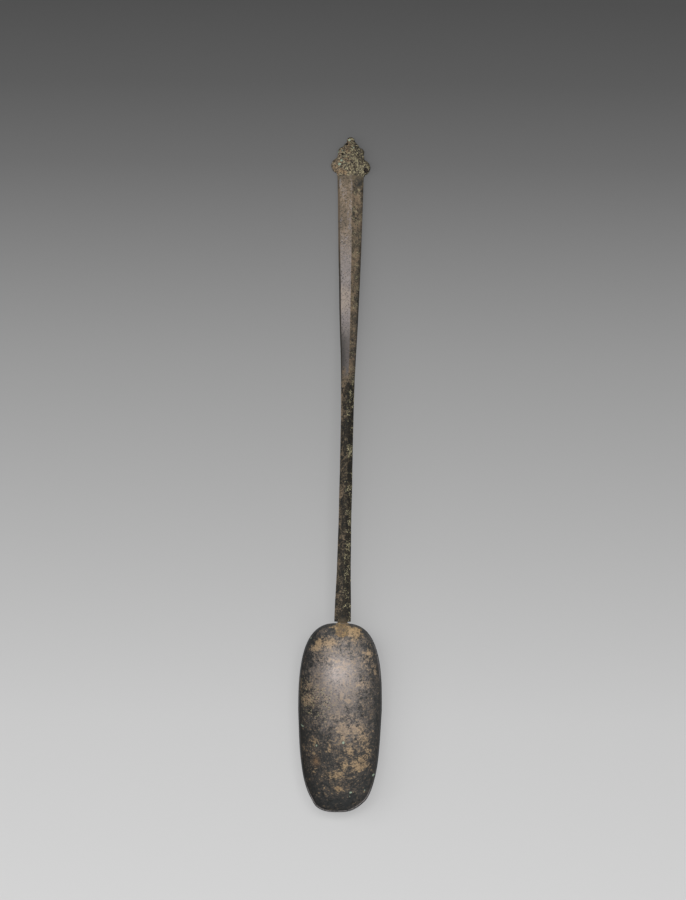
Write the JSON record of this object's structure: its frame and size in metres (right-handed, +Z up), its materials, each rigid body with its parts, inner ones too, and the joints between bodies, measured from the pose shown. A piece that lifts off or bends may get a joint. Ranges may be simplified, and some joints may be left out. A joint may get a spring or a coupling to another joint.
{
  "type": "table spoon",
  "caption": "Long-handled ancient bronze spoon with a long, square-shouldered bowl, a slender stem that widens into a ridged blade, and a small lobed finial.",
  "frame": {"origin": "middle of the small flat underneath the bowl, on the table", "axes": "+Z up out of the bowl's mouth, +Y from the bowl along the handle to the finial, +X to the right as seen from the bowl's tip"},
  "size_m": [0.029, 0.2526, 0.0129],
  "materials": {
    "bowl_bronze": "dark brown-black patina with worn golden-brown patches",
    "handle_bronze": "dark olive-brown patina, smoother on the blade's left facet",
    "solder": "dull golden brown",
    "finial_crust": "granular olive and cream corrosion with mint-green specks"
  },
  "bodies": {
    "root": {"bowl": "bowl_bronze", "handle": "handle_bronze", "neck_solder": "solder", "finial": "finial_crust"}
  },
  "joints": []
}
